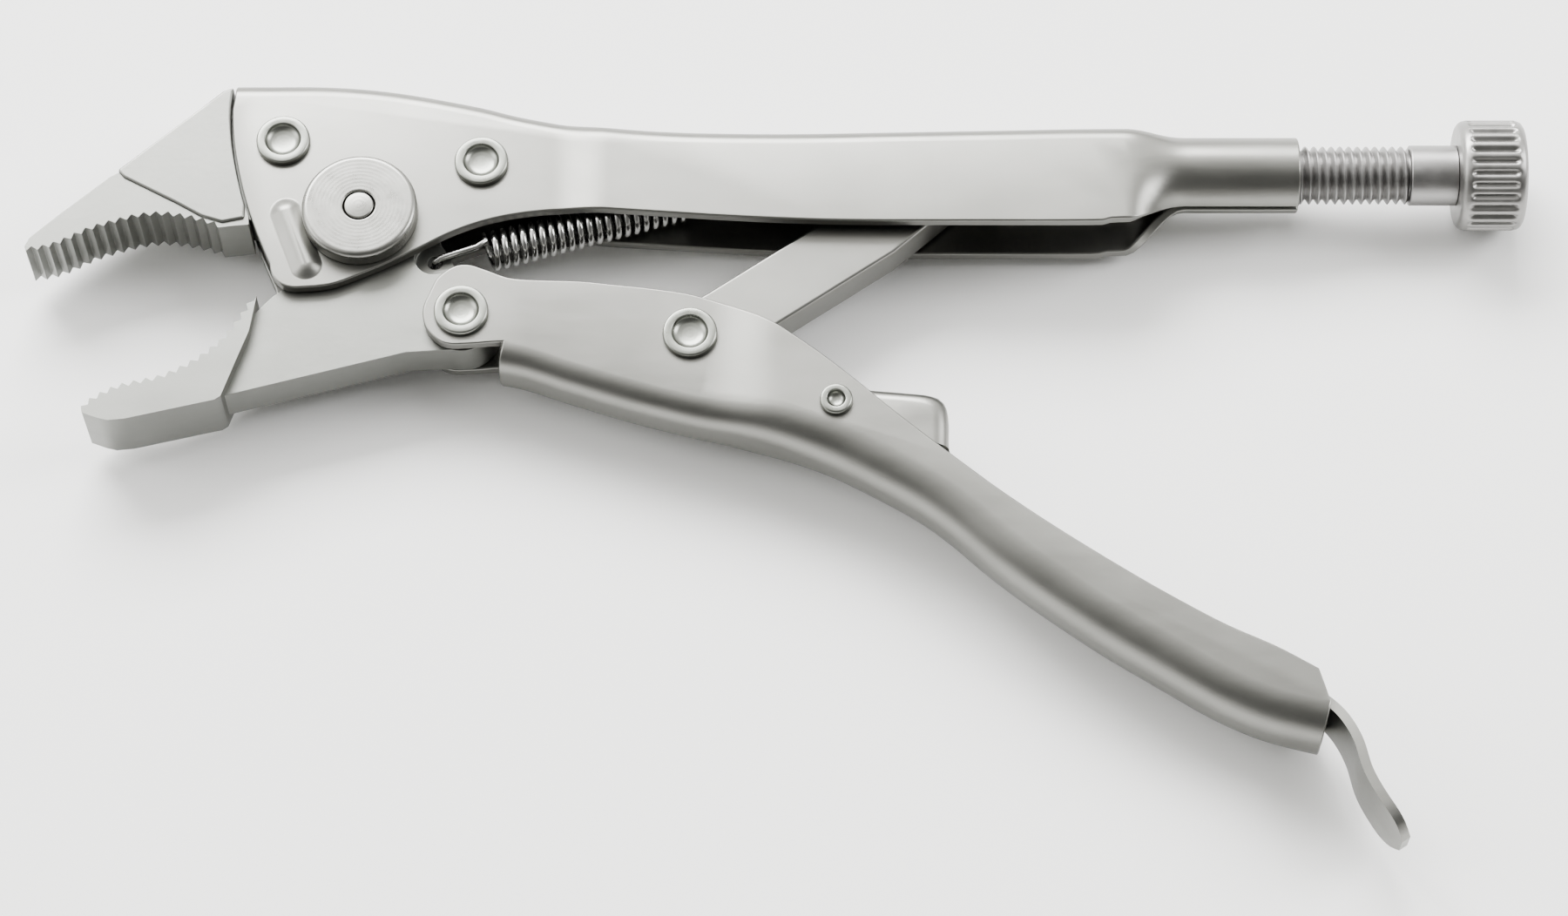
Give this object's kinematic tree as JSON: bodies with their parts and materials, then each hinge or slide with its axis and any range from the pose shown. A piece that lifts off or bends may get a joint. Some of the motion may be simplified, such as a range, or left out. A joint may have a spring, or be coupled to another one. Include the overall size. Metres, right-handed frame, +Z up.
{
  "type": "locking pliers",
  "caption": "Locking pliers with curved toothed jaws, toggle link, release lever, return spring and adjusting screw, shown open and lying on one side.",
  "frame": {"origin": "on the jaw pivot axis, at the back face of the pivot bolt's head, which is the resting plane of the tool lying on its side", "axes": "+X along the upper handle from the jaw pivot to the adjusting knob, +Y in the plane of the tool towards the upper handle, +Z up through the thickness"},
  "size_m": [0.2562, 0.1381, 0.019],
  "materials": {
    "satin_sheet": "satin nickel plate over folded steel",
    "forged_jaw": "satin nickel plate over forged steel",
    "turned_steel": "turned, plated",
    "rivet_steel": "headed cold, plated",
    "bright_wire": "bright drawn spring wire"
  },
  "bodies": {
    "frame": {"upper_handle": "satin_sheet", "fixed_jaw": "forged_jaw", "front_jaw_rivet": "rivet_steel", "rear_jaw_rivet": "rivet_steel", "pivot_bolt": "turned_steel", "front_pivot_disc": "turned_steel", "return_spring": "bright_wire"},
    "lower_jaw": {"lower_jaw": "forged_jaw", "handle_rivet": "rivet_steel"},
    "lower_handle": {"lower_handle": "satin_sheet", "link_rivet": "rivet_steel", "lever_rivet": "rivet_steel"},
    "toggle_link": {"toggle_link": "satin_sheet"},
    "release_lever": {"release_lever": "satin_sheet"},
    "adjusting_screw": {"adjusting_screw": "turned_steel"},
    "adjusting_knob": {"adjusting_knob": "turned_steel"}
  },
  "joints": [
    {"name": "jaw_swing", "type": "hinge", "parent": "frame", "child": "lower_jaw", "pos_m": [0, 0, 0.0095], "axis": [0, 0, 1], "range_deg": [-15, 0], "stiffness_Nm_per_rad": 0.4, "springref_deg": 22.92, "deforming": ["return_spring"]},
    {"name": "handle_swing", "type": "hinge", "parent": "lower_jaw", "child": "lower_handle", "pos_m": [0.0177, -0.0186, 0.0095], "axis": [0, 0, 1], "range_deg": [0, 40]},
    {"name": "link_swing", "type": "hinge", "parent": "lower_handle", "child": "toggle_link", "pos_m": [0.0563, -0.0228, 0.0095], "axis": [0, 0, 1], "range_deg": [-39.2, 0]},
    {"name": "lever_press", "type": "hinge", "parent": "lower_handle", "child": "release_lever", "pos_m": [0.0808, -0.0358, 0.0095], "axis": [0, 0, 1], "range_deg": [0, 4]},
    {"name": "screw_travel", "type": "slide", "parent": "frame", "child": "adjusting_screw", "axis": [1, 0, 0], "range_m": [0, 0.012]},
    {"name": "knob_turn", "type": "hinge", "parent": "adjusting_screw", "child": "adjusting_knob", "pos_m": [0.188, 0.0108, 0.0095], "axis": [1, 0, 0], "range_deg": [0, 2880.01]}
  ],
  "couplings": [
    {"joint": "jaw_swing", "follows": "handle_swing", "ratio": -0.375},
    {"joint": "link_swing", "follows": "handle_swing", "ratio": -0.98},
    {"joint": "knob_turn", "follows": "screw_travel", "rad_per_m": 4188.8}
  ]
}
